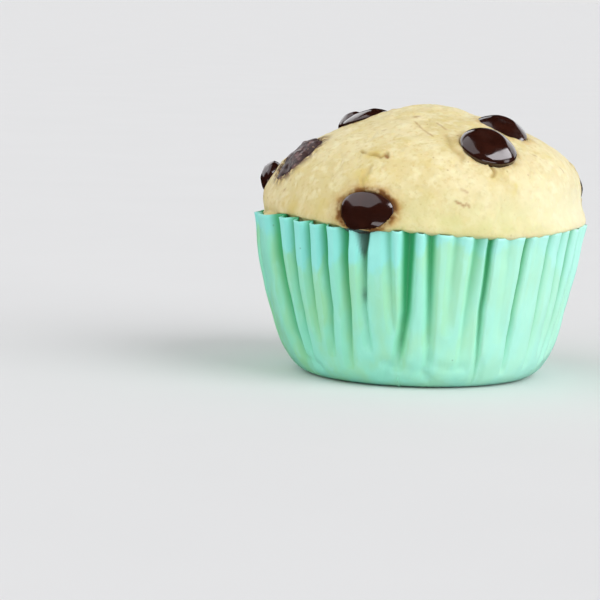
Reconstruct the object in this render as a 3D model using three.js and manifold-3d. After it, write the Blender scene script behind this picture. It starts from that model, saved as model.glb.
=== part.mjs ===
// A chocolate chip muffin in a pleated paper liner, in millimetres, +Z up.
// The origin is the centre of the flat base that it stands on, and the front is -Y.
// The crumb is one baked solid that fills the liner and rises over its rim as a dome.
// Each chocolate chip is a lens-shaped solid, part sunk in a socket of the dome.
import * as THREE from "three";
import { mergeVertices } from "three/addons/utils/BufferGeometryUtils.js";
import Module from "manifold-3d";

// ---- driving dimensions ----
const RIM_RADIUS = 36.2; // to the crests of the pleats, at the top edge of the liner
const LINER_HEIGHT = 33.5;
const BASE_RADIUS = 22.5; // the flat disc under the liner
const WALL_START_RADIUS = 30; // where the rounded foot meets the straight flared wall
const WALL_START_HEIGHT = 8;
const PAPER = 0.45; // greaseproof paper, drawn thicker than the real 0.1 mm so that it is a sound solid
const PLEATS = 48;
const PLEAT_DEPTH = 1.8; // crest to valley at the rim, fading out towards the base
const PLEAT_FOOT = 2; // height where the pleats begin
const STEPS_PER_PLEAT = 2; // a crest and a valley
const GAP = 0.3; // between touching pieces
const DOME_HEIGHT = 25.2; // crown above the rim
const DOME_LEAN = 2.2; // how far the dome's shoulders lean towards +X
const DOME_LEAN_PHASE = 0.75 * Math.PI;
const DOME_LEAN_START = 1.4; // above 1, the lean starts gently at the rim
const CRUMB_SEGMENTS = 72;
const FOOT_STEPS = 3;
const WALL_STEPS = 3;

// Half outline of the dome above the rim: radius, height over the rim.
const DOME_POINTS = [
  [34.3, 4.5],
  [32.8, 9.8],
  [29.7, 13.8],
  [24.4, 17.6],
  [17.2, 20.5],
  [10.2, 22.7],
  [4.6, 24.5],
  [0, DOME_HEIGHT],
];
const DOME_STEPS = 14;

// The chips. bearing is in degrees round the dome, from the front towards +X, and rise is the height over the rim.
// width runs round the dome and length runs up it. proud is how far the chip's middle stands out of the crumb.
// turn, where there is one, is how far the chip has tipped towards lower bearings, in degrees.
const CHIPS = [
  { name: "chip_front_rim", bearing: -19.9, rise: 4.3, width: 11.2, length: 7.8, thick: 4.6, proud: -0.2 },
  { name: "chip_upper_right_front", bearing: 27.6, rise: 17.3, width: 11.8, length: 12.6, thick: 4.8, proud: -0.1 },
  { name: "chip_upper_right_back", bearing: 60, rise: 20.5, width: 7.6, length: 12, thick: 4, proud: 0, turn: 16 },
  { name: "chip_left_melted", bearing: -73, rise: 13.7, width: 11, length: 12, thick: 3.4, proud: -0.8 },
  { name: "chip_left_edge", bearing: -92, rise: 8.2, width: 7.6, length: 6.8, thick: 3.6, proud: 0.8 },
  { name: "chip_upper_left_back", bearing: -126, rise: 18.9, width: 6.4, length: 7.2, thick: 4.6, proud: 0.9 },
  { name: "chip_upper_left_crest", bearing: -98, rise: 21.3, width: 10.2, length: 10.4, thick: 3.2, proud: 0.2 },
  { name: "chip_right_edge", bearing: 95.5, rise: 8.4, width: 8.6, length: 7.4, thick: 4.2, proud: -1.5 },
  { name: "chip_back_low_right", bearing: 128, rise: 6.4, width: 11.2, length: 9.2, thick: 4.6, proud: -0.3 },
  { name: "chip_back_high_right", bearing: 146, rise: 16.4, width: 11.8, length: 11, thick: 4.6, proud: 0 },
  { name: "chip_back_low", bearing: 172, rise: 7, width: 10.8, length: 9.8, thick: 4.4, proud: -0.3 },
  { name: "chip_back_high", bearing: -170, rise: 18.2, width: 11.2, length: 10.8, thick: 4.4, proud: -0.1 },
  { name: "chip_back_low_left", bearing: -142, rise: 8.6, width: 11.4, length: 10, thick: 4.6, proud: -0.2 },
];
const CHIP_SEGMENTS = 16;
const CHIP_STEPS = 6;

const COLOURS = {
  crumb: new THREE.MeshStandardMaterial({ color: 0xeedfa6, roughness: 0.75, metalness: 0 }),
  paper: new THREE.MeshStandardMaterial({ color: 0x86e0bd, roughness: 0.5, metalness: 0 }),
  chocolate: new THREE.MeshStandardMaterial({ color: 0x35170f, roughness: 0.18, metalness: 0 }),
};

// ---- outlines, as half sections: x is the radius and y the height ----

// The outer crests of the liner, from the edge of its flat base up to the rim.
function cupOutline() {
  const slope = (RIM_RADIUS - WALL_START_RADIUS) / (LINER_HEIGHT - WALL_START_HEIGHT);
  const foot = new THREE.QuadraticBezierCurve(
    new THREE.Vector2(BASE_RADIUS, 0),
    new THREE.Vector2(WALL_START_RADIUS - slope * WALL_START_HEIGHT, 0),
    new THREE.Vector2(WALL_START_RADIUS, WALL_START_HEIGHT),
  );
  const wall = new THREE.LineCurve(
    new THREE.Vector2(WALL_START_RADIUS, WALL_START_HEIGHT),
    new THREE.Vector2(RIM_RADIUS, LINER_HEIGHT),
  );
  return [...foot.getPoints(FOOT_STEPS), ...wall.getPoints(WALL_STEPS).slice(1)];
}

// The outline moved inwards by a distance. Its base stays level and its rim stays at the rim's height.
function insetOutline(outline, distance) {
  return outline.map((point, i) => {
    const before = outline[Math.max(i - 1, 0)];
    const after = outline[Math.min(i + 1, outline.length - 1)];
    const along = after.clone().sub(before).normalize();
    const moved = new THREE.Vector2(point.x - along.y * distance, point.y + along.x * distance);
    if (i === 0) moved.set(point.x, distance);
    if (i === outline.length - 1) moved.set(point.x - distance / along.y, LINER_HEIGHT);
    return moved;
  });
}

// How deep the pleats are at a height.
function pleatDepth(height) {
  return PLEAT_DEPTH * THREE.MathUtils.smoothstep(height, PLEAT_FOOT, LINER_HEIGHT);
}

// The crumb's outline inside the liner, clear of the pleats' valleys.
function crumbInCup() {
  const outline = insetOutline(cupOutline(), PAPER + GAP);
  for (const point of outline) point.x -= pleatDepth(point.y);
  return outline;
}

// The dome's outline over the rim, from the edge of the crumb in the liner to the crown.
function domeOutline() {
  const start = [crumbInCup().at(-1).x, 0];
  const points = [start, ...DOME_POINTS].map(([r, z]) => new THREE.Vector2(r, z));
  return new THREE.SplineCurve(points);
}

// How far the dome leans towards +X at a height over the rim.
function domeLean(rise) {
  const share = THREE.MathUtils.clamp(rise / DOME_HEIGHT, 0, 1);
  return DOME_LEAN * Math.sin(share ** DOME_LEAN_START * DOME_LEAN_PHASE);
}

// ---- geometry helpers ----

// A turned solid about +Z from a half section that starts and ends on the axis.
function turned(outline, segments) {
  return new THREE.LatheGeometry(outline, segments).rotateX(Math.PI / 2);
}

// Moves each vertex by a function of its place.
function reshape(geometry, move) {
  const position = geometry.getAttribute("position");
  const point = new THREE.Vector3();
  for (let i = 0; i < position.count; i++) {
    point.fromBufferAttribute(position, i);
    move(point);
    position.setXYZ(i, point.x, point.y, point.z);
  }
  return geometry;
}

const wasm = await Module();
wasm.setup();

function toSolid(geometry) {
  const bare = geometry.clone();
  bare.deleteAttribute("normal");
  bare.deleteAttribute("uv");
  const merged = mergeVertices(bare, 1e-3);
  return new wasm.Manifold(
    new wasm.Mesh({
      numProp: 3,
      vertProperties: merged.attributes.position.array,
      triVerts: new Uint32Array(merged.index.array),
    }),
  );
}

function toGeometry(solid) {
  const mesh = solid.getMesh();
  const geometry = new THREE.BufferGeometry();
  geometry.setAttribute("position", new THREE.BufferAttribute(mesh.vertProperties, 3));
  geometry.setIndex(new THREE.BufferAttribute(mesh.triVerts, 1));
  geometry.computeVertexNormals();
  return geometry;
}

function part(name, geometry, material) {
  const mesh = new THREE.Mesh(geometry, material);
  mesh.name = name;
  return mesh;
}

// ---- the pieces ----

// The paper cup: one pleated sheet, flat underneath, with a rounded foot and a flared wall.
function paperLiner() {
  const outside = cupOutline();
  const inside = insetOutline(outside, PAPER).reverse();
  const section = [new THREE.Vector2(0, 0), ...outside, ...inside, new THREE.Vector2(0, PAPER)];
  const cup = turned(section, PLEATS * STEPS_PER_PLEAT);
  return reshape(cup, (p) => {
    const radius = Math.hypot(p.x, p.y);
    if (radius < 1e-6) return;
    const wave = 0.5 - 0.5 * Math.cos(PLEATS * Math.atan2(p.x, p.y));
    const scale = (radius - pleatDepth(p.z) * wave) / radius;
    p.x *= scale;
    p.y *= scale;
  });
}

// The crumb before its sockets are cut: it lies just inside the pleats' valleys and domes over the rim.
function crumbBlank(dome) {
  const overRim = dome
    .getPoints(DOME_STEPS)
    .slice(1)
    .map((p) => new THREE.Vector2(p.x, p.y + LINER_HEIGHT));
  const section = [new THREE.Vector2(0, PAPER + GAP), ...crumbInCup(), ...overRim];
  return reshape(turned(section, CRUMB_SEGMENTS), (p) => {
    p.x += domeLean(p.z - LINER_HEIGHT);
  });
}

// A chip's lens, or with grow above 0 the socket around it. Its flat way lies in XY.
function chipLens(chip, grow) {
  const half = (size) => size / 2 + grow;
  const outline = [];
  for (let i = 0; i <= CHIP_STEPS; i++) {
    const angle = (i / CHIP_STEPS - 0.5) * Math.PI;
    outline.push(new THREE.Vector2(Math.cos(angle), Math.sin(angle)));
  }
  outline[0].x = 0;
  outline[CHIP_STEPS].x = 0;
  return turned(outline, CHIP_SEGMENTS).scale(half(chip.width), half(chip.length), half(chip.thick));
}

// The place of a chip on the dome: X runs round the dome, Y up it and Z out of it.
function chipPlace(chip, dome) {
  const bearing = THREE.MathUtils.degToRad(chip.bearing);
  const outward = new THREE.Vector3(Math.sin(bearing), -Math.cos(bearing), 0);
  const t = shareAtRise(dome, chip.rise);
  const at = dome.getPoint(t);
  const along = dome.getTangent(t);
  const up = outward.clone().multiplyScalar(along.x).setZ(along.y);
  const round = new THREE.Vector3(Math.cos(bearing), Math.sin(bearing), 0);
  const out = round.clone().cross(up).normalize();
  const centre = outward.multiplyScalar(at.x).setZ(at.y + LINER_HEIGHT);
  centre.x += domeLean(at.y);
  centre.addScaledVector(out, chip.proud);
  const turned = new THREE.Matrix4().makeRotationY(-THREE.MathUtils.degToRad(chip.turn ?? 0));
  return new THREE.Matrix4().makeBasis(round, up, out).multiply(turned).setPosition(centre);
}

// Where along the dome's outline a height is reached.
function shareAtRise(dome, rise) {
  let low = 0;
  let high = 1;
  for (let i = 0; i < 30; i++) {
    const middle = (low + high) / 2;
    if (dome.getPoint(middle).y < rise) low = middle;
    else high = middle;
  }
  return low;
}

// ---- the muffin ----
const muffin = new THREE.Group();
muffin.name = "muffin";
muffin.add(part("paper_liner", paperLiner(), COLOURS.paper));

const dome = domeOutline();
let crumb = toSolid(crumbBlank(dome));
for (const chip of CHIPS) {
  const place = chipPlace(chip, dome);
  crumb = crumb.subtract(toSolid(chipLens(chip, GAP).applyMatrix4(place)));
  const mesh = part(chip.name, chipLens(chip, 0), COLOURS.chocolate);
  mesh.position.setFromMatrixPosition(place);
  mesh.quaternion.setFromRotationMatrix(place);
  muffin.add(mesh);
}
muffin.add(part("muffin_crumb", toGeometry(crumb), COLOURS.crumb));

export default muffin;
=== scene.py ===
# A chocolate chip muffin in a mint green paper liner: its finished surfaces, materials, light and camera.
# Lengths are in millimetres, and MM turns them into metres where Blender needs them. A bearing is an angle in
# degrees round the muffin, from the front (-Y) towards +X. A rise is a height over the liner's rim.
import math

import bpy
import numpy as np
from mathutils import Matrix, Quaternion, Vector


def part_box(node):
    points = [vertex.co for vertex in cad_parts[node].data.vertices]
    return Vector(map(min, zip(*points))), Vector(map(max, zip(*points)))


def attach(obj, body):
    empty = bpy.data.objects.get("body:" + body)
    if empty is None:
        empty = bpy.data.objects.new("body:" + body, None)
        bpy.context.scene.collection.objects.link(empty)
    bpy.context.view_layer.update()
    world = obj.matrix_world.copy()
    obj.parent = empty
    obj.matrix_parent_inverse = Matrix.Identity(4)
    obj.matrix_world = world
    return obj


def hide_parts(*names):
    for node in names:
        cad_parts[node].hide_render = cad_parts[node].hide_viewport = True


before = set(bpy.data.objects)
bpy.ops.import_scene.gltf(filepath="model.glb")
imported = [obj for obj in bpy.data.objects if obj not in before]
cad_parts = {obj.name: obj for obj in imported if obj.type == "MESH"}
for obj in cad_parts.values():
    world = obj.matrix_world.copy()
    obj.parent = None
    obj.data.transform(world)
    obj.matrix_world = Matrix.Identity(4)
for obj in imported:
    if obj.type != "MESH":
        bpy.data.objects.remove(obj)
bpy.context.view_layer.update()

MM = 0.001

# ---- sizes taken from the frame ----
LINER_LOW, LINER_HIGH = (np.array(corner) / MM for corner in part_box("paper_liner"))
CRUMB_LOW, CRUMB_HIGH = (np.array(corner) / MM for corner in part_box("muffin_crumb"))
RIM_RADIUS = (LINER_HIGH[0] - LINER_LOW[0]) / 2
RIM_HEIGHT = LINER_HIGH[2]
DOME_HEIGHT = CRUMB_HIGH[2] - RIM_HEIGHT

# ---- the liner ----
BASE_RADIUS = 22.5
WALL_START_RADIUS = 30  # where the curve of the foot ends and the straight wall begins
WALL_START_HEIGHT = 8
RIM_BAND = 5  # the height of the band under the rim that follows the ups and downs of the edge
PLEATS = 48
COLUMNS_PER_PLEAT = 16
BASE_RINGS = (4, 9, 14, 18, 21)  # radii of the rings of points in the flat base
PAPER = 0.16  # thickness
PAPER_TO_CRUMB = 0.35
VALLEY_SHARPNESS = 0.65  # 0.5 gives the pleats sharp valleys with straight flanks, and 1 round troughs
VALLEY_GROWTH = 0.45  # how a valley deepens up to the rim: 1 for evenly, less for most of it low down
FULL_FOLD_SHADE = 2.6  # the depth at which a valley has its full painted shade
CHIP_PRESS = 1.6  # how far the front chip presses the paper inwards at the rim
CHIP_PRESS_SPREAD = 7  # how far round that reaches, in degrees
STAIN_BEARING = -19.9  # where chocolate ran down from the front chip

# Pleat valleys that show at the front: bearing at the foot, half way up and at the rim, then the depth
# at the rim, how far its left and right flanks reach, and the height where it begins.
FRONT_VALLEYS = [
    (-76, -77, -77, 1.5, 3.0, 1.0, 2),
    (-52.8, -54.8, -57, 3.0, 6.0, 0.9, 1),
    (-48.4, -48, -48.3, 2.2, 2.4, 0.6, 4),
    (-41, -41.1, -40.5, 2.0, 2.2, 0.55, 9),
    (-37, -33.6, -33.7, 2.2, 2.2, 0.7, 6),
    (-28, -25.7, -25.7, 2.2, 2.6, 0.75, 4),
    (-17, -19.2, -18.1, 1.5, 2.2, 0.6, 8),
    (-7.5, -9.4, -10.4, 1.2, 1.8, 1.2, 12),
    (-8.6, -4.1, -3.4, 2.8, 2.1, 1.9, 4),
    (4.9, 4.4, 3.9, 2.0, 1.7, 1.7, 5),
    (11.5, 11.5, 12.6, 1.1, 1.8, 1.8, 12),
    (17.6, 18.2, 19.8, 1.5, 1.5, 3.2, 4),
    (26.4, 24.6, 25.2, 2.1, 1.8, 0.7, 1),
    (34, 32.6, 32, 0.8, 2.2, 1.6, 10),
    (40.2, 37.4, 38.6, 2.2, 0.7, 1.4, 3),
    (46, 44.6, 44.4, 0.6, 1.8, 1.5, 12),
    (53, 50.2, 49.6, 1.7, 0.9, 1.8, 4),
    (60.5, 58.2, 57, 1.5, 0.9, 1.8, 6),
]

# Creases in the foot of the liner: depth, half width, each point's bearing and height.
CREASES = [
    (0.7, 1.2, [(-6.5, 10), (-8.5, 7), (-12, 4), (-14.4, 0.8)]),
    (0.4, 0.8, [(-14, 5.5), (-9, 4.2), (-3, 4.6)]),
    (0.5, 0.9, [(5, 7), (3, 4), (7, 1)]),
    (0.45, 0.8, [(27.5, 6), (28.5, 2), (28, 0.2)]),
    (0.35, 0.8, [(8, 5.5), (15, 4.5), (20, 5)]),
    (0.5, 1.0, [(-60, 9), (-55, 5), (-47, 3)]),
    (0.6, 1.0, [(118, 10), (112, 6), (114, 1.5)]),
    (0.5, 0.9, [(160, 7), (168, 4), (165, 1)]),
    (0.6, 1.0, [(-150, 11), (-144, 6), (-147, 1)]),
    (0.4, 0.8, [(-100, 6), (-108, 4.5), (-113, 5)]),
]

# How far below the rim the paper has stayed free of grease: bearing, depth.
DRY_BAND = [
    (-180, 5), (-120, 4), (-80, 1.5), (-60, 2.6), (-50, 5.5), (-41, 8), (-30, 5.5),
    (-22, 5), (-14, 7), (-5, 5.5), (3, 2.5), (10, 1), (15, 2), (24, 6),
    (30, 1.5), (42, 1.2), (52, 5), (65, 9), (90, 12), (120, 6), (180, 5),
]

# How far the paper's edge has sunk below its even height, or with a minus risen over it: bearing, height.
RIM_SUNK = [
    (-180, 0), (-100, -0.2), (-75, -1.1), (-62, -1.2), (-52, -1.3), (-42, -0.8), (-30, -0.4),
    (-24, 0.2), (-17, 0.2), (-9, -0.4), (0, -0.1), (10, 0.3), (20, 0.5),
    (30, 0.8), (42, 0.8), (52, 0.3), (66, 0), (90, -0.1), (180, 0),
]

# ---- the dome ----
# Half outline over the rim: radius, rise.
DOME_OUTLINE = [
    (33.65, 0),
    (34.3, 4.5),
    (32.8, 9.8),
    (29.7, 13.8),
    (24.4, 17.6),
    (17.2, 20.5),
    (10.2, 22.7),
    (4.6, 24.5),
    (0, DOME_HEIGHT),
]

# The dome leans towards +X, by DOME_LEAN at three quarters of its height. The lean follows a sine wave, up to
# DOME_LEAN_PHASE at the crown, and a DOME_LEAN_START over 1 makes it begin gently.
DOME_LEAN = 2.2
DOME_LEAN_PHASE = 0.75 * math.pi
DOME_LEAN_START = 1.4
DOME_CELLS = 256  # across the dome, each way
PITS = 260  # little holes in the crust
FULL_CRACK_SHADE = 0.75  # the depth at which a crack has its full painted shade

# Cracks in the crust, or ridges where the depth is below 0: depth, half width, each point's bearing and rise.
CRACKS = [
    (0.8, 0.4, [(-32.3, 16), (-26, 15.1), (-21.7, 14.6), (-20.4, 15.6), (-18.5, 14.8)]),
    (0.8, 0.44, [(24.4, 13.6), (25, 12.6), (24.6, 11.8)]),
    (0.4, 0.8, [(8, 19.6), (9.6, 17.2), (13, 15.2)]),
    (0.16, 1.3, [(27, 11.4), (31.4, 9.4)]),
    (0.14, 0.6, [(33.4, 9.6), (34.6, 8.4)]),
    (0.35, 0.6, [(-24.5, 12.8), (-24.8, 10.6), (-22.8, 8.8)]),
    (-0.5, 0.5, [(41.5, 19.2), (40, 17.6), (39.6, 15.6)]),
    (0.5, 0.34, [(43.6, 19), (41.8, 17.2), (41.2, 15.2)]),
    (-0.3, 0.5, [(8, 14.6), (12, 13.2), (17, 12.8)]),
    (0.6, 0.5, [(88, 12), (96, 14), (103, 13), (112, 15.4)]),
    (0.7, 0.5, [(150, 11), (158, 12.6), (163, 10.8), (172, 12)]),
    (0.5, 0.5, [(-158, 14.6), (-150, 13.2), (-146, 15.2)]),
    (0.6, 0.5, [(-118, 12.4), (-110, 13.6), (-106, 12)]),
    (0.4, 0.5, [(-165, 22.6), (-140, 22), (-120, 23)]),
]

# Brown flecks and fibres in the crust: strength, half width, each point's bearing and rise.
FLECKS = [
    (0.55, 0.2, [(-17.2, 21.8), (-9.7, 20.9), (-4.4, 20.2), (0, 19.4)]),
    (0.75, 0.24, [(10.7, 6.8), (12.6, 6.3), (14, 5.7), (14.7, 6.3), (15.7, 5.8)]),
    (0.9, 0.34, [(-20.2, 15.4), (-18.9, 14.9)]),
    (0.4, 0.28, [(12.6, 9.2), (14.6, 8.7)]),
    (0.5, 0.26, [(4, 21.8), (9, 20.6)]),
    (0.9, 0.4, [(-61, 0.9), (-60.4, 0.7)]),
    (0.9, 0.34, [(-47.6, 1.6), (-47.2, 1)]),
    (0.8, 0.34, [(-49.6, 0.7), (-48.4, 0.5)]),
    (0.8, 0.34, [(-41.4, 0.5), (-40.4, 0.6)]),
    (0.55, 0.3, [(-62.6, 6.7), (-62, 6.9)]),
    (0.5, 0.3, [(-34.7, 20), (-34, 20.2)]),
    (0.6, 0.5, [(-21.3, 22.6), (-18, 22.8)]),
    (0.5, 0.26, [(52, 15.8), (53, 15.6)]),
    (0.5, 0.28, [(64, 12.8), (64.4, 12)]),
    (0.6, 0.3, [(101, 19), (107, 19.4)]),
    (0.6, 0.26, [(140, 22), (148, 21.4), (154, 21.6)]),
    (0.7, 0.24, [(-128, 10), (-124, 9.4), (-121, 9.8)]),
]

# Moist, yellower or browner spots: bearing, rise, half width, strength.
MOIST_SPOTS = [
    (33.4, 9.4, 1.3, 1.0),
    (32, 8, 1.2, 1.0),
    (33.6, 5.8, 1.4, 0.4),
    (27.5, 12.4, 2.4, 0.5),
    (-24.3, 11.2, 1.6, 0.8),
    (-26, 15.6, 2.2, 0.5),
    (9, 18, 2.0, 0.5),
    (-52, 3.2, 2.4, 0.7),
    (-40, 3.4, 2.6, 0.35),
    (62, 15.2, 1.0, 0.6),
    (68, 13.8, 1.0, 0.5),
    (27, 1, 2.2, 0.5),
    (160, 11, 2.2, 0.6),
    (-112, 12.6, 2.0, 0.6),
    (118, 3, 2.6, 0.5),
]

# ---- the chips ----
CHIP_RINGS = 36  # of points, from the middle to the edge
CHIP_SPOKES = 80

# How wide and dark a greasy halo the chips have in the crumb. PLAIN_OILINESS is for the ones not named.
OILY_CHIPS = {"chip_front_rim": 1.0, "chip_back_low": 0.8, "chip_upper_right_front": 0.4}
PLAIN_OILINESS = 0.5

# Chips that broke up in the crust.
SMEARED_CHIPS = {"chip_left_melted", "chip_back_high_right"}

# How much further a chip has flowed to its left, right, lower and upper side, as shares of its half sizes.
CHIP_FLOW = {
    "chip_front_rim": (0, 0.02, 0.28, 0),
    "chip_upper_right_front": (0, 0, 0, 0.06),
    "chip_upper_right_back": (0.42, 0, 0, 0.04),
}

# How square the upper and lower halves of a chip's outline are: 2 for an ellipse, more for squarer.
CHIP_SQUARENESS = {"chip_front_rim": (2.1, 3.4)}

# The flat of a chip's top: where it has slid to, round and up, and how wide it is, as shares of the chip's
# half sizes. Then how steeply the top falls outside it and how deep it is dished, as shares of half the
# chip's thickness. PLAIN_FLAT is for the chips not named.
FLATS = {
    "chip_front_rim": (-0.1, -0.36, 0.42, 1.35, 0.09),
    "chip_upper_right_front": (0.03, 0.14, 0.54, 1.25, 0.09),
    "chip_upper_right_back": (0.2, 0.05, 0.44, 1.45, 0.09),
}
PLAIN_FLAT = (0.06, 0.1, 0.4, 1.2, 0.02)

# ---- light and camera ----
CAMERA_AT = (0, -565, 83.3)
CAMERA_AIM = (-25.8, 0, 14.9)
CAMERA_ROLL = 1.42
CAMERA_LENS = 155.9
LIGHT_AIM = (0, 0, 35)
DAYLIGHT_DISTANCE = 900
WINDOW_DISTANCE = 700
HORIZON_GLOW = 0.79  # brightness of the surroundings, from the floor up to a little over the horizon
OVERHEAD_GLOW = 0.45
GLOW_FADE = (0.25, 0.8)  # where the one fades into the other, as the height of a view direction
FLOOR_SHADES = (226, 226, 227), (229, 229, 230)
FLOOR_RADII = (80, 200, 500, 1200, 3000, 8000, 20000)
FLOOR_SPOKES = 96

rng = np.random.default_rng(48)


# ---- small maths ----
def smoothstep(x, low, high):
    """0 at low and 1 at high, with an even bend between them. Low may be over high."""
    t = np.clip((x - low) / (high - low), 0, 1)
    return t * t * (3 - 2 * t)


def bell(distance, width):
    """1 where the distance is 0, falling to about a third at the width."""
    return np.exp(-((distance / width) ** 2))


def soft_max(a, b, blend):
    """The larger of two values, rounded off where they meet."""
    return (a + b + np.sqrt((a - b) ** 2 + blend**2)) / 2


def on_bearing(bearing, radius, height):
    """Points from bearings, radii and heights, as rows of x, y, z."""
    angle = np.radians(bearing)
    return np.stack(np.broadcast_arrays(radius * np.sin(angle), -radius * np.cos(angle), height), axis=-1)


def bearing_of(points):
    """The bearing of a point, or of each row of points."""
    return np.degrees(np.arctan2(points[..., 0], -points[..., 1]))


def at_bearing(bearing, table):
    """The value at a bearing, from a table of bearings and values."""
    return np.interp(bearing, *np.transpose(table))


def turn_between(a, b):
    """The angle from b to a, from -180 to 180 degrees."""
    return (a - b + 180) % 360 - 180


def cell_value(cell, seed):
    """A fixed random number from -1 to 1 for each whole-number cell, by mixing the bits of its numbers."""
    mixed = cell[..., 0] * 374761393 + cell[..., 1] * 668265263 + cell[..., 2] * 974634757 + seed * 83492791
    mixed = mixed & 0xFFFFFFFF
    mixed = ((mixed ^ (mixed >> 13)) * 1274126177) & 0xFFFFFFFF
    return ((mixed ^ (mixed >> 16)) & 0xFFFF) / 32767.5 - 1


def noise(points, size, seed):
    """Smooth noise from -1 to 1, with bumps about size across, on a grid turned at random for each seed."""
    turned = np.linalg.qr(np.random.default_rng(seed).normal(size=(3, 3)))[0]
    cell = points @ turned / size
    low = np.floor(cell).astype(np.int64)
    t = cell - low
    t = t * t * t * (t * (t * 6 - 15) + 10)
    total = 0
    for corner in np.ndindex(2, 2, 2):
        weight = np.prod(np.where(np.array(corner) == 1, t, 1 - t), axis=-1)
        total = total + weight * cell_value(low + np.array(corner), seed)
    return total


def path_distance(points, path):
    """The distance from each point to a path of straight stretches."""
    nearest = np.full(len(points), np.inf)
    for start, end in zip(path[:-1], path[1:]):
        along = end - start
        t = np.clip((points - start) @ along / (along @ along), 0, 1)
        nearest = np.minimum(nearest, np.linalg.norm(points - start - t[:, None] * along, axis=1))
    return nearest


# ---- building pieces ----
def new_piece(name, points, faces, material, values=None):
    """A smooth mesh piece that rides on the muffin's one body, with a value at each point for each name."""
    mesh = bpy.data.meshes.new(name)
    mesh.from_pydata((np.asarray(points) * MM).tolist(), [], faces)
    mesh.shade_smooth()
    for key, numbers in (values or {}).items():
        layer = mesh.attributes.new(key, "FLOAT", "POINT")
        layer.data.foreach_set("value", np.asarray(numbers, dtype=np.float32))
    mesh.materials.append(material)
    piece = bpy.data.objects.new(name, mesh)
    bpy.context.scene.collection.objects.link(piece)
    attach(piece, "root")
    return piece


def point_normals(points, faces):
    """The smooth normal at each point of a mesh."""
    mesh = bpy.data.meshes.new("scratch")
    mesh.from_pydata(points.tolist(), [], faces)
    normals = np.empty(len(points) * 3, dtype=np.float32)
    mesh.vertex_normals.foreach_get("vector", normals)
    bpy.data.meshes.remove(mesh)
    return normals.reshape(-1, 3).astype(float)


def ring_faces(first, second, inwards=False):
    """Quads between two closed rings of point numbers of the same length."""
    ahead_first = np.roll(first, -1)
    ahead_second = np.roll(second, -1)
    quads = np.stack([first, ahead_first, ahead_second, second], axis=1)
    if inwards:
        quads = quads[:, ::-1]
    return quads.tolist()


def fan_faces(centre, ring):
    """Triangles between one point and a closed ring of point numbers."""
    return [[centre, int(a), int(b)] for a, b in zip(ring, np.roll(ring, -1))]


# ---- the liner's shape ----
def valley_table():
    """All the pleats' valleys in order of bearing, with the ones that the front doesn't show filled in."""
    front = np.array(FRONT_VALLEYS, dtype=float)
    hidden = PLEATS - len(front)
    gap = (360 + front[0, 2] - front[-1, 2]) / (hidden + 1)
    rim = front[-1, 2] + gap * np.arange(1, hidden + 1) + rng.uniform(-1.1, 1.1, hidden)
    middle = rim + rng.uniform(-1, 1, hidden)
    foot = middle + rng.uniform(-1.5, 1.5, hidden)
    depth = rng.uniform(1.3, 2.8, hidden)
    left = rng.uniform(1.0, 3.2, hidden)
    right = np.clip(4.2 - left, 1.0, 3) * rng.uniform(0.7, 1, hidden)
    start = rng.uniform(1, 8, hidden)
    return np.concatenate([front, np.stack([foot, middle, rim, depth, left, right, start], axis=1)])


VALLEYS = valley_table()


def cup_outline(steps):
    """Crest outline from the edge of the flat base to the rim, and its inward normals."""
    slope = (RIM_RADIUS - WALL_START_RADIUS) / (RIM_HEIGHT - WALL_START_HEIGHT)
    bend = WALL_START_RADIUS - slope * WALL_START_HEIGHT
    t = np.linspace(0, 1, 60)[:, None]
    foot = (
        (1 - t) ** 2 * np.array([BASE_RADIUS, 0])
        + 2 * t * (1 - t) * np.array([bend, 0])
        + t**2 * np.array([WALL_START_RADIUS, WALL_START_HEIGHT])
    )
    outline = np.vstack([foot, [RIM_RADIUS, RIM_HEIGHT]])
    length = np.concatenate([[0], np.cumsum(np.linalg.norm(np.diff(outline, axis=0), axis=1))])
    at = np.asarray(steps) * length[-1]
    radius = np.interp(at, length, outline[:, 0])
    height = np.interp(at, length, outline[:, 1])
    along = np.gradient(np.stack([radius, height], axis=1), at, axis=0)
    along /= np.linalg.norm(along, axis=1)[:, None]
    return np.stack([radius, height, -along[:, 1], along[:, 0]], axis=1)


def valley_bearings(height):
    """The bearing of each valley at a height."""
    foot, middle, rim = VALLEYS[:, :3].T
    low = np.clip(height / (RIM_HEIGHT / 2), 0, 1)
    high = np.clip(height / (RIM_HEIGHT / 2) - 1, 0, 1)
    return foot + (middle - foot) * low + (rim - middle) * high


def column_bearings(height):
    """Bearings of the mesh's columns at a height, closer together in the valleys."""
    valleys = valley_bearings(height)
    edges = np.append(valleys, valleys[0] + 360)
    share = np.arange(COLUMNS_PER_PLEAT) / COLUMNS_PER_PLEAT
    share = share - 0.09 * np.sin(2 * np.pi * share)
    counts = (np.arange(PLEATS)[:, None] + share).ravel()
    return np.interp(counts, np.arange(PLEATS + 1), edges)


def fold_depth(bearing, radius, height):
    """How far the paper lies inside the crest outline, for bearings at one height."""
    depth, left, right, start = VALLEYS[:, 3:].T
    away = np.radians(turn_between(bearing[:, None], valley_bearings(height))) * radius
    slimmer = 0.7 + 0.3 * height / RIM_HEIGHT
    reach = np.where(away < 0, -away / left, away / right) / slimmer
    flank = soft_max(1 - (reach**2 + 0.012) ** VALLEY_SHARPNESS, 0, 0.08)
    growth = np.clip((height - start) / (RIM_HEIGHT - start), 0, 1) ** VALLEY_GROWTH
    return (flank * depth * growth).max(axis=1)


def near_rim(height):
    """0 below the band under the rim, rising to 1 at the rim."""
    return smoothstep(height, RIM_HEIGHT - RIM_BAND, RIM_HEIGHT)


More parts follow.
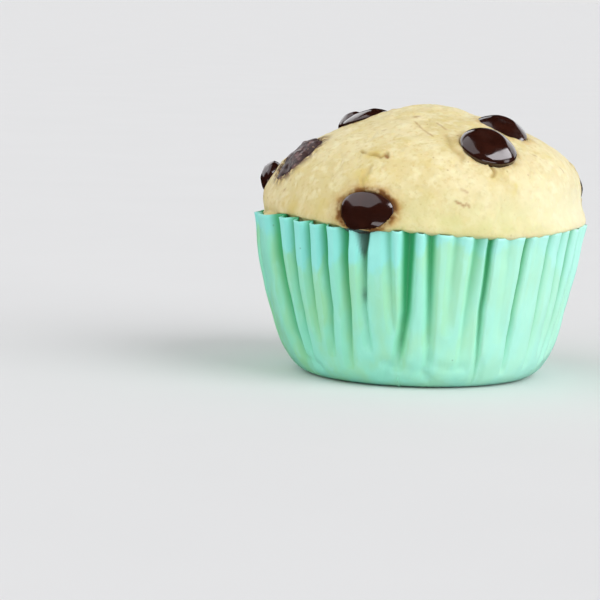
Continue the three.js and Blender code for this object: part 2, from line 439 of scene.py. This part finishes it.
def crumple(bearing, radius, height):
    """Extra depth of the paper from creases in the foot, soft dents all over and the front chip's press."""
    flat = np.stack([np.radians(bearing) * radius, np.full_like(bearing, height)], axis=1)
    depth = np.zeros_like(bearing)
    for deep, width, path in CREASES:
        middle = path[0][0]
        local = flat.copy()
        local[:, 0] = np.radians(turn_between(bearing, middle)) * radius
        stretch = np.array([(math.radians(turn_between(b, middle)) * radius, h) for b, h in path])
        depth += deep * bell(path_distance(local, stretch), width)
    points = on_bearing(bearing, radius, height)
    crumpled = 1 + 0.9 * bell(height - 6, 6)
    depth += 0.16 * crumpled * noise(points, 7, 5) + 0.09 * crumpled * noise(points, 3, 6)
    depth += 0.05 * noise(points * [1, 1, 0.2], 1.3, 7)
    chip_centre = CHIPS["chip_front_rim"][0]
    under_chip = bell(turn_between(bearing, bearing_of(chip_centre)), CHIP_PRESS_SPREAD) * near_rim(height)
    return depth + CHIP_PRESS * under_chip


def bulge(bearing, height):
    """How far the filled cup swells outwards between its foot and its rim, most of all at its left."""
    size = 0.5 + 0.75 * bell(turn_between(bearing, -92), 60)
    swell = size * bell(height - 18, 13)
    return swell * smoothstep(height, 0, 7) * smoothstep(height, RIM_HEIGHT, RIM_HEIGHT - 8)


def crumb_depth(bearing, radius, height):
    """How far the crumb's side lies inside the crest outline: clear of the paper everywhere."""
    around = np.arange(0, 360, 0.5)
    # The valleys are widened by a few degrees and smoothed.
    deepest = fold_depth(around, radius, height)
    deepest = np.max([np.roll(deepest, step) for step in range(-5, 6)], axis=0)
    deepest = np.mean([np.roll(deepest, step) for step in range(-4, 5)], axis=0)
    depth = np.interp(bearing % 360, around, deepest, period=360)
    return depth + crumple(bearing, radius, height) * smoothstep(height, 0, 3) + PAPER + PAPER_TO_CRUMB


def cup_points(bearing, outline_row, depth):
    """Points at one row of the liner's outline, a depth inside it."""
    radius, height, inward_radius, inward_height = outline_row
    outwards = radius + bulge(bearing, height) + inward_radius * depth
    return on_bearing(bearing, outwards, height + inward_height * depth)


def rim_dip(bearing):
    """How far the paper's edge lies below its even height, with a little raggedness."""
    sunk = at_bearing(turn_between(bearing, 0), RIM_SUNK)
    return sunk + 0.16 * noise(on_bearing(bearing, RIM_RADIUS, 0), 4, 9)


def liner_steps():
    """Where the wall's rows of points lie, as shares of its outline: closer at the foot and the rim."""
    foot, middle, rim = np.linspace(0, 0.22, 14), np.linspace(0.22, 0.8, 22), np.linspace(0.8, 1, 12)
    return np.concatenate([foot, middle[1:], rim[1:]])


def base_rows():
    """The rings of points in the flat base, creased a little towards its edge."""
    bearing = column_bearings(0)
    rows = []
    for radius in BASE_RINGS:
        creased = 0.1 * np.abs(noise(on_bearing(bearing, radius, 0), 3, 8))
        rows.append(on_bearing(bearing, radius, creased * smoothstep(radius, 6, BASE_RADIUS)))
    return rows


def wall_rows():
    """The rings of points from the foot to the rim, and how deep in a valley each point lies."""
    rows, folds = [], []
    for row in cup_outline(liner_steps()):
        radius, height = row[:2]
        bearing = column_bearings(height)
        fold = fold_depth(bearing, radius, height)
        depth = fold + crumple(bearing, radius, height) * smoothstep(height, 0, 3)
        points = cup_points(bearing, row, depth)
        points[:, 2] -= rim_dip(bearing) * near_rim(height)
        rows.append(points)
        folds.append(fold)
    return rows, folds


def build_liner(material):
    base = base_rows()
    wall, folds = wall_rows()
    rows = base + wall
    columns = PLEATS * COLUMNS_PER_PLEAT
    points = np.vstack([[[0, 0, 0]], *rows])
    points[:, 2] = np.maximum(points[:, 2], PAPER)
    fold = np.concatenate([np.zeros(1 + columns * len(base)), *folds])
    rings = [1 + columns * i + np.arange(columns) for i in range(len(rows))]
    faces = [face[::-1] for face in fan_faces(0, rings[0])]
    for low, high in zip(rings[:-1], rings[1:]):
        faces += ring_faces(low, high)
    bearing = bearing_of(points)
    values = {
        # How deep in a valley each point lies, for the paper's painted shade in the valleys.
        "fold": np.clip(fold / FULL_FOLD_SHADE, 0, 1),
        "dry": dry_paper(points, bearing, fold),
        "stain": chocolate_stain(points, bearing),
        # Paler towards the front right, where the main light falls: painted light.
        "painted_light_right": smoothstep(bearing, -40, 70) * smoothstep(bearing, 150, 90),
    }
    liner = new_piece("liner_paper", points, faces, material, values)
    shell = liner.modifiers.new("paper", "SOLIDIFY")
    shell.thickness = PAPER * MM
    shell.offset = -1
    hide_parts("paper_liner")


def dry_paper(points, bearing, fold):
    """Where the paper has stayed free of grease: above 0 inside the dry band under the rim, in mm."""
    depth = at_bearing(bearing, DRY_BAND)
    tongue = 1.25 - 0.55 * np.clip(fold / 1.5, 0, 1)
    below = RIM_HEIGHT - points[:, 2]
    return depth * tongue + 1.1 * noise(points * [1, 1, 0.4], 2.6, 11) - below


def chocolate_stain(points, bearing):
    """Melted chocolate that ran down the valley under the front chip, and a small spot below it."""
    across = turn_between(bearing, STAIN_BEARING)
    below = RIM_HEIGHT - points[:, 2]
    width = np.clip(2.7 - 0.34 * below, 0.5, 2.7)
    streak = smoothstep(np.abs(across - 0.1 * below), 1.3 * width, 0.3 * width) * smoothstep(below, 6.6, 3.4)
    spot = 0.75 * bell(across - 0.3, 0.9) * bell(below - 13.4, 1.4)
    trail = 0.4 * bell(across - 0.8, 1.0) * smoothstep(below, 15, 4)
    return np.clip(streak + spot + trail, 0, 1)


# ---- the chips' places ----
def chip_frame(name):
    """Centre, axes (round, up, out) as rows, and half sizes of a chip's lens, from its node in the frame."""
    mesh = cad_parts[name].data
    points = np.empty(len(mesh.vertices) * 3)
    mesh.vertices.foreach_get("co", points)
    points = np.unique(np.round(points.reshape(-1, 3) / MM, 3), axis=0)
    low, high = points.min(axis=0), points.max(axis=0)
    centre = (low + high) / 2
    local = points - centre
    out, *flat_ways = np.linalg.eigh(local.T @ local)[1].T
    if out @ (centre - np.array([0, 0, RIM_HEIGHT])) < 0:
        out = -out
    up = max(flat_ways, key=lambda way: abs(way[2]))
    up = up * np.sign(up[2])
    axes = np.stack([np.cross(up, out), up, out])
    half = np.abs(local @ axes.T).max(axis=0)
    return centre, axes, half


CHIPS = {name: chip_frame(name) for name in sorted(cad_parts) if name.startswith("chip_")}


# ---- the crumb ----
def dome_curve():
    """The dome's half outline as a smooth curve from the crown: shares of its length, radii and rises."""
    knots = np.array(DOME_OUTLINE, dtype=float)
    padded = np.vstack([knots[0], knots, knots[-1]])
    samples = []
    for i in range(len(knots) - 1):
        before, start, end, after = padded[i : i + 4]
        t = np.linspace(0, 1, 30, endpoint=False)[:, None]
        leave, arrive = (end - before) / 2, (after - start) / 2
        samples.append(
            (2 * start - 2 * end + leave + arrive) * t**3
            + (-3 * start + 3 * end - 2 * leave - arrive) * t**2
            + leave * t
            + start
        )
    curve = np.vstack([*samples, knots[-1:]])[::-1]
    length = np.concatenate([[0], np.cumsum(np.linalg.norm(np.diff(curve, axis=0), axis=1))])
    return length / length[-1], curve[:, 0], curve[:, 1]


DOME_CURVE = dome_curve()


def lean_at(rise):
    """How far the dome leans towards +X at a rise."""
    return DOME_LEAN * np.sin(np.clip(rise / DOME_HEIGHT, 0, 1) ** DOME_LEAN_START * DOME_LEAN_PHASE)


def on_dome(bearing, rise):
    """Points on the smooth dome at bearings and rises."""
    _, radius, height = DOME_CURVE
    points = on_bearing(bearing, np.interp(rise, height[::-1], radius[::-1]), RIM_HEIGHT + np.asarray(rise))
    points[..., 0] += lean_at(np.asarray(rise))
    return points


def dome_grid():
    """A square grid laid over the dome: each point's share of the way from crown to rim, and its bearing."""
    line = np.linspace(-1, 1, DOME_CELLS + 1)
    a, b = (side.ravel() for side in np.meshgrid(line, line))
    wide = np.abs(a) > np.abs(b)
    share = np.where(wide, a, b)
    safe = np.where(share == 0, 1, share)
    angle = np.where(wide, b / safe * 45, 90 - a / safe * 45)
    bearing = np.where(share >= 0, angle, angle + 180)
    return np.abs(share), bearing


def grid_faces_and_edge():
    """The dome grid's quads, and the numbers of the points round its edge."""
    side = DOME_CELLS + 1
    index = np.arange(side * side).reshape(side, side)
    quads = np.stack([index[:-1, :-1], index[:-1, 1:], index[1:, 1:], index[1:, :-1]], axis=-1)
    edge = np.concatenate([index[0, :-1], index[:-1, -1], index[-1, :0:-1], index[:0:-1, 0]])
    return quads.reshape(-1, 4), edge


def edge_swell(bearing):
    """How far the crumb spreads over the liner's rim: well at the front and right, hardly at the left."""
    spread = 1.7 - 1.5 * bell(turn_between(bearing, -85), 42) - 0.8 * bell(turn_between(bearing, 150), 40)
    spread = spread + 0.8 * bell(turn_between(bearing, 50), 50)
    return spread + 0.25 * noise(on_bearing(bearing, 34, 0), 5, 12)


def crumb_base():
    """The crumb's smooth outside, before its crust, cracks and sockets: points and faces."""
    share, bearing = dome_grid()
    share = np.interp(share, [0, 0.93, 1], [0, 0.95, 1])
    radius = np.interp(share, DOME_CURVE[0], DOME_CURVE[1])
    rise = np.interp(share, DOME_CURVE[0], DOME_CURVE[2])
    radius = radius + edge_swell(bearing) * bell(rise - 0.8, 2.6)
    tucked = RIM_RADIUS - crumb_depth(bearing, RIM_RADIUS, RIM_HEIGHT)
    radius = tucked + (radius - tucked) * smoothstep(rise, -0.25, 0.75)
    overhang = 0.6 * bell(turn_between(bearing, 42), 55)
    dome = on_bearing(bearing, radius, RIM_HEIGHT + rise - (rim_dip(bearing) + overhang) * bell(rise, 4))
    dome[:, 0] += lean_at(rise)
    quads, edge = grid_faces_and_edge()
    angle = bearing[edge]
    points, faces, ring = [dome], quads.tolist(), edge
    total = len(dome)
    for row in cup_outline(np.linspace(0, 0.975, 22))[::-1]:
        points.append(cup_points(angle, row, crumb_depth(angle, row[0], row[1])))
        below = total + np.arange(len(edge))
        faces += ring_faces(ring, below, inwards=True)
        ring = below
        total += len(edge)
    points.append([[0, 0, PAPER + PAPER_TO_CRUMB]])
    faces += [face[::-1] for face in fan_faces(total, ring)]
    return np.vstack(points), faces


def crust(points, normals):
    """The baked skin: soft swellings, shallow wrinkles, pits and cracks, as a height along the normals, and
    where the cracks get painted shade.
    """
    rise = points[:, 2] - RIM_HEIGHT
    shown = smoothstep(rise, -0.5, 1.2)
    height = (0.3 * noise(points, 15, 21) + 0.24 * noise(points, 7.5, 22)) * smoothstep(rise, -1, 6)
    wrinkle = np.abs(noise(points, 4.2, 23)) * smoothstep(noise(points, 17, 27), -0.2, 0.4)
    height += shown * (0.13 * noise(points, 3.4, 24) - 0.16 * bell(wrinkle, 0.1))
    height += shown * (0.075 * noise(points, 1.7, 25) + 0.05 * noise(points, 0.9, 26))
    for _ in range(PITS):
        middle = on_dome(rng.uniform(-180, 180), DOME_HEIGHT * (1 - rng.uniform(0, 1) ** 0.7))
        width = rng.uniform(0.25, 0.6)
        near = np.linalg.norm(points - middle, axis=1)
        height -= shown * rng.uniform(0.25, 0.6) * width * bell(near, width)
    split = np.zeros(len(points))
    wander = 0.5 * np.stack([noise(points, 2.1, 31 + i) for i in range(3)], axis=1)
    for deep, width, path in CRACKS:
        route = np.array([on_dome(b, h) for b, h in path])
        near = path_distance(points + wander, route)
        height += 0.35 * deep * bell(near, 3.2 * width) - deep * bell(near, width)
        split = np.maximum(split, np.clip(deep / FULL_CRACK_SHADE, 0, 1) * bell(near, 1.1 * width))
    return points + normals * height[:, None], split


def flecks(points):
    """Brown flecks and fibres on the crust, from 0 to 1."""
    total = np.zeros(len(points))
    wander = 0.18 * np.stack([noise(points, 0.8, 61 + i) for i in range(3)], axis=1)
    for strength, width, path in FLECKS:
        route = np.array([on_dome(b, h) for b, h in path])
        total = np.maximum(total, strength * bell(path_distance(points + wander, route), width))
    return total


def moisture(points):
    """Moist spots on the crust, from 0 to 1."""
    total = np.zeros(len(points))
    wander = 0.9 * np.stack([noise(points, 1.8, 71 + i) for i in range(3)], axis=1)
    for bearing, rise, width, strength in MOIST_SPOTS:
        near = np.linalg.norm(points + wander - on_dome(bearing, rise), axis=1)
        total = np.maximum(total, strength * bell(near, width))
    return total


def seat_chips(points):
    """Sinks a socket under each chip and swells a lip of crumb round it.

    Also gives how oily and how smeared with chocolate the crumb is there."""
    halo = np.zeros(len(points))
    smear = np.zeros(len(points))
    for name, (centre, axes, half) in CHIPS.items():
        local = (points - centre) @ axes.T
        reach = np.hypot(local[:, 0] / half[0], local[:, 1] / half[1])
        near = (reach < 3) & (np.abs(local[:, 2]) < 9)
        edge = (reach - 1) * half[:2].mean()
        lip = 0.22 * bell(edge - 0.6, 1.2) + 0.16 * noise(points, 1.6, 41) * bell(edge, 1.4)
        floor = -half[2] * np.sqrt(np.clip(1 - reach**2, 0, 1)) - 0.25
        level = np.where(reach < 0.99, np.minimum(local[:, 2], floor), local[:, 2] + lip)
        points = np.where(near[:, None], points + np.outer(level - local[:, 2], axes[2]), points)
        oily = OILY_CHIPS.get(name, PLAIN_OILINESS)
        halo = np.maximum(halo, oily * near * bell(np.maximum(edge, 0), 1.1 + 0.7 * oily))
        if name in SMEARED_CHIPS:
            smear = np.maximum(smear, near * bell(np.maximum(edge, 0), 1.5))
    return points, halo, smear


def build_crumb(material):
    points, faces = crumb_base()
    smooth = points
    points, split = crust(points, point_normals(points, faces))
    points, halo, smear = seat_chips(points)
    rise = points[:, 2] - RIM_HEIGHT
    bearing = bearing_of(points)
    # Darker tan low on the crumb and most of all at the left: browning near the rim, and painted shade on the
    # side away from the main light.
    tan_and_shade = bell(rise - 1, 4.5) * (0.2 + 0.8 * bell(turn_between(bearing, -62), 40))
    # Painted light: paler on the right, towards the main light.
    pale = bell(turn_between(bearing, 64), 48) * bell(rise - 4, 8)
    # Yellow-green low at the front, next to the paper: damp crumb, and painted green light thrown up from the
    # liner.
    damp_and_green_glow = bell(rise - 1, 6) * bell(turn_between(bearing, 10), 42)
    values = {"halo": halo, "smear": smear, "split": split, "tan_and_shade": tan_and_shade, "pale": pale, "damp_and_green_glow": damp_and_green_glow}
    values |= {"fleck": flecks(smooth), "moist": moisture(smooth)}
    crumb = new_piece("crumb", points, faces, material, values)
    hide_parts("muffin_crumb")


# ---- the chips ----
def chip_points(name, half):
    """Rings of points for the top and the bottom of a melted and reset chip, in its own axes.

    The top is a low button with a dished flat, a bevel and a rounded edge."""
    seed = sorted(CHIPS).index(name) + 1.0
    rough = float(name in SMEARED_CHIPS)
    share = np.sin(np.linspace(0, np.pi / 2, CHIP_RINGS))[:, None]
    angle = np.linspace(0, 2 * np.pi, CHIP_SPOKES, endpoint=False)[None, :]
    lobes = 1 + 0.03 * np.cos(2 * angle + seed) + 0.02 * np.cos(3 * angle + 2.1 * seed)
    lobes = lobes + rough * 0.1 * np.cos(5 * angle + seed)
    upper_power, lower_power = CHIP_SQUARENESS.get(name, (2, 2))
    power = np.where(np.sin(angle) < 0, lower_power, upper_power)
    lobes = lobes / (np.abs(np.cos(angle)) ** power + np.abs(np.sin(angle)) ** power) ** (1 / power)
    slid_round, slid_up, flat_share, bevel, dished = FLATS.get(name, PLAIN_FLAT)
    x = half[0] * (share * np.cos(angle) * lobes + slid_round * (1 - share))
    y = half[1] * (share * np.sin(angle) * lobes + slid_up * (1 - share))
    flat = np.stack([x, y, np.zeros_like(x) + 10 * seed], axis=-1)
    edge = np.sqrt(1 - share**9)
    fall = bevel * soft_max(share - flat_share, 0, 0.07)
    profile = (1 - fall) * edge
    dish = dished * bell(share, 0.36)
    top = half[2] * (profile - dish * (1 - rough)) * np.ones_like(angle)
    top = top + (0.09 * noise(flat, 4, 51) + 0.025 * noise(flat, 1.5, 52)) * edge
    top = top + rough * (0.5 * noise(flat, 3, 53) + 0.2 * noise(flat, 1.1, 54)) * edge
    bottom = -half[2] * edge * np.ones_like(angle)
    return np.stack([x, y, top], axis=-1), np.stack([x, y, bottom], axis=-1)


def build_chip(name, material):
    centre, axes, half = CHIPS[name]
    top, bottom = chip_points(name, half)
    points = np.vstack([top[0, :1], *top[1:], *bottom[-2:0:-1], bottom[0, :1]])
    left, right, down, up = CHIP_FLOW.get(name, (0, 0, 0, 0))
    points[:, 0] *= np.where(points[:, 0] < 0, 1 + left, 1 + right)
    points[:, 1] *= np.where(points[:, 1] < 0, 1 + down, 1 + up)
    count = 2 * (CHIP_RINGS - 1) - 1
    loops = [1 + CHIP_SPOKES * i + np.arange(CHIP_SPOKES) for i in range(count)]
    faces = fan_faces(0, loops[0])
    for upper, lower in zip(loops[:-1], loops[1:]):
        faces += ring_faces(upper, lower, inwards=True)
    faces += [face[::-1] for face in fan_faces(len(points) - 1, loops[-1])]
    placed = centre + points @ axes
    chip = new_piece(name.replace("chip_", "chocolate_"), placed, faces, material)
    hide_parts(name)


# ---- materials ----
class Shader:
    """A material's nodes, with short calls that add and join them."""

    def __init__(self, name):
        self.material = bpy.data.materials.new(name)
        self.material.use_nodes = True
        self.nodes = self.material.node_tree.nodes
        self.links = self.material.node_tree.links
        self.surface = self.nodes["Principled BSDF"]
        self.place = self.node("ShaderNodeTexCoord").outputs["Object"]

    def put(self, node, inputs):
        """Joins sockets to a node's inputs, and sets the inputs that are given as plain values."""
        for key, value in inputs.items():
            if isinstance(value, bpy.types.NodeSocket):
                self.links.new(value, node.inputs[key])
            else:
                node.inputs[key].default_value = value

    def node(self, kind, inputs=None, **settings):
        node = self.nodes.new(kind)
        for key, value in settings.items():
            setattr(node, key, value)
        self.put(node, inputs or {})
        return node

    def finish(self, **inputs):
        """Sets or joins inputs of the surface itself, and gives the material."""
        self.put(self.surface, {key.replace("_", " "): value for key, value in inputs.items()})
        return self.material

    def value(self, name):
        """The value stored at each point of the mesh under a name."""
        return self.node("ShaderNodeAttribute", attribute_name=name).outputs["Fac"]

    def part_of(self, name, share):
        """A share of the value stored under a name."""
        return self.math("MULTIPLY", self.value(name), share)

    def noise(self, size, detail=2.0, stretch=(1, 1, 1), rough=0.5):
        """Noise with bumps about size millimetres across, centred on 0.5."""
        spread = self.node("ShaderNodeMapping", {"Vector": self.place, "Scale": stretch}).outputs["Vector"]
        inputs = {"Vector": spread, "Scale": 1 / (size * MM), "Detail": detail, "Roughness": rough}
        return self.node("ShaderNodeTexNoise", inputs).outputs["Fac"]

    def cells(self, size):
        """The distance to the nearest of many scattered points, as a share of the size between them."""
        inputs = {"Vector": self.place, "Scale": 1 / (size * MM)}
        return self.node("ShaderNodeTexVoronoi", inputs).outputs["Distance"]

    def ramp(self, value, low, high, start=0.0, end=1.0):
        """From start, where the value is at low, to end, where it is at high."""
        inputs = {"Value": value, "From Min": low, "From Max": high, "To Min": start, "To Max": end}
        return self.node("ShaderNodeMapRange", inputs, interpolation_type="SMOOTHSTEP").outputs["Result"]

    def math(self, operation, a, b):
        return self.node("ShaderNodeMath", {0: a, 1: b}, operation=operation).outputs["Value"]

    def mix(self, share, a, b):
        """A colour between a, where the share is 0, and b, where it is 1."""
        inputs = {"Factor": share, 6: a, 7: b}
        return self.node("ShaderNodeMix", inputs, data_type="RGBA").outputs[2]

    def bump(self, height, distance, strength, before=None):
        """A bumpy normal, on top of the one before it."""
        inputs = {"Height": height, "Distance": distance * MM, "Strength": strength}
        if before is not None:
            inputs["Normal"] = before
        return self.node("ShaderNodeBump", inputs).outputs["Normal"]


def srgb(red, green, blue):
    """A linear colour from a screen's values, each from 11 to 255."""
    return (*(((c / 255 + 0.055) / 1.055) ** 2.4 for c in (red, green, blue)), 1.0)


def crumb_material():
    s = Shader("baked_crumb")
    colour = s.mix(s.ramp(s.noise(8, 3), 0.35, 0.65), srgb(232, 218, 169), srgb(221, 204, 147))
    colour = s.mix(s.ramp(s.noise(3.6, 3), 0.5, 0.72, 0, 0.3), colour, srgb(224, 202, 116))
    colour = s.mix(s.ramp(s.noise(2.4, 4), 0.45, 0.72, 0, 0.65), colour, srgb(241, 232, 190))
    colour = s.mix(s.ramp(s.noise(1.1, 3), 0.5, 0.72, 0, 0.42), colour, srgb(204, 180, 112))
    # Darker dots at the little pores: painted shade in the pits.
    pore = s.cells(1.5)
    dot = s.math("MULTIPLY", s.ramp(pore, 0.2, 0.06), s.ramp(s.noise(5, 2), 0.48, 0.62))
    colour = s.mix(s.math("MULTIPLY", dot, 0.4), colour, srgb(190, 158, 92))
    speck = s.math("MULTIPLY", s.ramp(s.cells(4.6), 0.075, 0.03), 0.5)
    colour = s.mix(speck, colour, srgb(150, 108, 58))
    colour = s.mix(s.part_of("moist", 0.75), colour, srgb(214, 192, 88))
    # Browning near the rim, and painted shade on the left, away from the main light.
    colour = s.mix(s.part_of("tan_and_shade", 0.4), colour, srgb(214, 184, 124))
    # Painted light: the crumb is paler on the right, where the main light falls.
    colour = s.mix(s.part_of("pale", 0.65), colour, srgb(250, 245, 212))
    # Damp crumb, and painted green light from the liner, low at the front.
    patchy = s.ramp(s.noise(5, 3), 0.3, 0.7, 0.3, 0.8)
    colour = s.mix(s.part_of("damp_and_green_glow", patchy), colour, srgb(208, 207, 140))
    uneven = s.ramp(s.noise(1.8, 3), 0.32, 0.68, 0.35, 1.2)
    colour = s.mix(s.part_of("halo", uneven), colour, srgb(176, 130, 52))
    near_chip = s.math("MULTIPLY", s.ramp(s.value("halo"), 0.5, 1.0), uneven)
    colour = s.mix(near_chip, colour, srgb(116, 72, 24))
    colour = s.mix(s.part_of("smear", s.ramp(s.noise(1.3, 3), 0.38, 0.56)), colour, srgb(92, 58, 48))
    # Painted shade: the cracks are darker brown, as the shade inside them.
    colour = s.mix(s.part_of("split", 0.8), colour, srgb(172, 138, 62))
    colour = s.mix(s.value("fleck"), colour, srgb(158, 100, 50))
    skin = s.bump(s.noise(0.7, 4, rough=0.6), 0.12, 0.6)
    skin = s.bump(s.ramp(pore, 0.05, 0.2), 0.08, 0.4, before=skin)
    s.finish(Specular_IOR_Level=0.3, Subsurface_Weight=0.25)
    s.finish(Subsurface_Radius=(1.0, 0.6, 0.3), Subsurface_Scale=1.4 * MM)
    return s.finish(Base_Color=colour, Roughness=s.ramp(s.noise(3, 2), 0.3, 0.7, 0.55, 0.75), Normal=skin)


def liner_material():
    s = Shader("greaseproof_paper")
    edge = s.math("MULTIPLY", s.math("SUBTRACT", s.noise(1.5, 3, stretch=(1, 1, 0.5)), 0.5), 4)
    dry = s.ramp(s.math("ADD", s.value("dry"), edge), -1.3, 1.1)
    pale = s.mix(s.noise(5, 3), srgb(138, 234, 222), srgb(154, 241, 230))
    soaked = s.ramp(s.noise(6, 3, stretch=(1, 1, 0.35)), 0.38, 0.62)
    oily = s.mix(soaked, srgb(150, 236, 206), srgb(158, 230, 180))
    lighter = s.ramp(s.noise(2.6, 3, stretch=(1, 1, 0.5)), 0.55, 0.75, 0, 0.5)
    oily = s.mix(lighter, oily, srgb(170, 244, 222))
    colour = s.mix(dry, oily, pale)
    # Painted light: the paper is paler at the front right, towards the main light.
    colour = s.mix(s.part_of("painted_light_right", 0.7), colour, srgb(200, 252, 236))
    # Painted light and shade in the pleats: a little paler on the crests, and dark green in the valleys as
    # painted shade, partly also paper soaked with grease where it touches the crumb.
    colour = s.mix(s.ramp(s.value("fold"), 0.03, 0.0, 0, 0.2), colour, srgb(176, 246, 236))
    colour = s.mix(s.ramp(s.value("fold"), 0.14, 0.72, 0, 0.92), colour, srgb(46, 172, 104))
    colour = s.mix(s.part_of("stain", 0.82), colour, srgb(40, 62, 50))
    fleck = s.ramp(s.cells(6), 0.05, 0.025, 0, 0.35)
    colour = s.mix(fleck, colour, srgb(80, 130, 80))
    fibre = s.bump(s.noise(0.5, 3, stretch=(1, 1, 0.4)), 0.05, 0.5)
    ridge = s.bump(s.noise(2.4, 3, stretch=(1, 1, 0.25)), 0.15, 0.6, before=fibre)
    roughness = s.ramp(dry, 0, 1, 0.34, 0.5)
    return s.finish(Base_Color=colour, Roughness=roughness, Normal=ridge)


def chocolate_material():
    s = Shader("dark_chocolate")
    colour = s.mix(s.ramp(s.noise(4, 3), 0.4, 0.7), srgb(44, 19, 13), srgb(56, 26, 18))
    roughness = s.ramp(s.noise(2.5, 3), 0.35, 0.7, 0.1, 0.2)
    skin = s.bump(s.noise(2.2, 2), 0.1, 0.3)
    s.finish(IOR=1.5, Coat_Weight=0.8, Coat_Roughness=0.06)
    return s.finish(Base_Color=colour, Roughness=roughness, Normal=skin)


def smeared_material():
    """Chocolate that broke up in the crust: dull, lumpy and dusted with crumb."""
    s = Shader("smeared_chocolate")
    colour = s.mix(s.ramp(s.noise(1.6, 4), 0.5, 0.66), srgb(56, 30, 27), srgb(116, 86, 84))
    colour = s.mix(s.ramp(s.noise(0.8, 3), 0.64, 0.74), colour, srgb(186, 150, 120))
    skin = s.bump(s.noise(0.9, 4, rough=0.6), 0.3, 0.8)
    s.finish(Coat_Weight=0.2)
    return s.finish(Base_Color=colour, Roughness=s.ramp(s.noise(1.2, 3), 0.35, 0.65, 0.3, 0.55), Normal=skin)


# ---- the stage ----
def build_stage():
    """A plain pale floor that runs out to the horizon."""
    bearing = np.arange(FLOOR_SPOKES) * 360 / FLOOR_SPOKES
    rows = [on_bearing(bearing, radius, 0) for radius in FLOOR_RADII]
    points = np.vstack([[[0, 0, 0]], *rows])
    rings = [1 + FLOOR_SPOKES * i + np.arange(FLOOR_SPOKES) for i in range(len(rows))]
    faces = fan_faces(0, rings[0])
    for near, far in zip(rings[:-1], rings[1:]):
        faces += ring_faces(near, far, inwards=True)
    mesh = bpy.data.meshes.new("floor")
    mesh.from_pydata((points * MM).tolist(), [], faces)
    s = Shader("pale_board")
    shade = s.mix(s.noise(60, 2), srgb(*FLOOR_SHADES[0]), srgb(*FLOOR_SHADES[1]))
    mesh.materials.append(s.finish(Base_Color=shade, Roughness=0.9, Specular_IOR_Level=0.0))
    floor = bpy.data.objects.new("floor", mesh)
    floor.visible_glossy = False
    bpy.context.scene.collection.objects.link(floor)


def face_middle(lamp, bearing, elevation, distance):
    """Puts a lamp at a bearing and elevation from the muffin's middle, facing it."""
    level = distance * math.cos(math.radians(elevation))
    away = Vector(on_bearing(bearing, level, distance * math.sin(math.radians(elevation))))
    lamp.location = (Vector(LIGHT_AIM) + away) * MM
    lamp.rotation_mode = "QUATERNION"
    lamp.rotation_quaternion = (-away).to_track_quat("-Z", "Y")
    bpy.context.scene.collection.objects.link(lamp)


def add_daylight(name, bearing, elevation, strength, spread, colour):
    """Soft light from far away that falls the same everywhere. Spread is its source's width in degrees."""
    data = bpy.data.lights.new(name, "SUN")
    data.energy = strength
    data.angle = math.radians(spread)
    data.color = colour
    lamp = bpy.data.objects.new(name, data)
    lamp.visible_glossy = False
    face_middle(lamp, bearing, elevation, DAYLIGHT_DISTANCE)


def add_window(name, bearing, elevation, size, power, colour):
    """A bright pane that only glossy surfaces mirror. Its size is in millimetres."""
    data = bpy.data.lights.new(name, "AREA")
    data.shape = "RECTANGLE"
    data.size, data.size_y = size[0] * MM, size[1] * MM
    data.energy = power
    data.color = colour
    lamp = bpy.data.objects.new(name, data)
    lamp.visible_camera = False
    lamp.visible_diffuse = False
    face_middle(lamp, bearing, elevation, WINDOW_DISTANCE)


def surround():
    """Pale surroundings, darker overhead, that light the muffin but aren't mirrored in it."""
    world = bpy.data.worlds.new("studio")
    world.use_nodes = True
    nodes, links = world.node_tree.nodes, world.node_tree.links
    direction = nodes.new("ShaderNodeTexCoord").outputs["Generated"]
    split = nodes.new("ShaderNodeSeparateXYZ")
    links.new(direction, split.inputs["Vector"])
    fade = nodes.new("ShaderNodeMapRange")
    fade.interpolation_type = "SMOOTHSTEP"
    fade.inputs["From Min"].default_value, fade.inputs["From Max"].default_value = GLOW_FADE
    fade.inputs["To Min"].default_value = HORIZON_GLOW
    fade.inputs["To Max"].default_value = OVERHEAD_GLOW
    links.new(split.outputs["Z"], fade.inputs["Value"])
    links.new(fade.outputs["Result"], nodes["Background"].inputs["Strength"])
    nodes["Background"].inputs["Color"].default_value = (1, 1, 1, 1)
    world.cycles_visibility.glossy = False
    bpy.context.scene.world = world
    bpy.context.scene.view_settings.view_transform = "Standard"


def light_stage():
    add_daylight("daylight_right", 58, 32, 1.75, 50, (1.0, 1.0, 1.0))
    add_daylight("daylight_left", -64, 38, 0.85, 80, (0.97, 0.98, 1.0))
    add_window("window_right", 66, 39, (830, 320), 4.7, (0.98, 0.96, 1.0))
    add_window("window_low_right", 74, 2, (260, 420), 0.9, (0.98, 0.96, 1.0))
    add_window("window_left", -75, 56, (1094, 594), 2.1, (0.97, 0.96, 1.0))
    add_window("backdrop_left", -142, 24, (700, 400), 1.1, (0.98, 0.98, 1.0))
    add_window("backdrop_right", 142, 24, (700, 400), 1.0, (0.98, 0.98, 1.0))
    add_window("table_glow", 12, -30, (560, 300), 1.15, (1.0, 0.96, 0.97))
    surround()


def add_camera():
    data = bpy.data.cameras.new("camera")
    data.lens = CAMERA_LENS
    data.sensor_width = 36
    data.clip_start = 10 * MM
    data.clip_end = 40000 * MM
    camera = bpy.data.objects.new("camera", data)
    camera.location = Vector(CAMERA_AT) * MM
    camera.rotation_mode = "QUATERNION"
    towards = (Vector(CAMERA_AIM) - Vector(CAMERA_AT)).to_track_quat("-Z", "Y")
    camera.rotation_quaternion = towards @ Quaternion((0, 0, 1), math.radians(CAMERA_ROLL))
    bpy.context.scene.collection.objects.link(camera)
    bpy.context.scene.camera = camera


def build_muffin():
    build_liner(liner_material())
    build_crumb(crumb_material())
    chocolate, smeared = chocolate_material(), smeared_material()
    for name in CHIPS:
        build_chip(name, smeared if name in SMEARED_CHIPS else chocolate)


add_camera()
build_stage()
light_stage()
build_muffin()
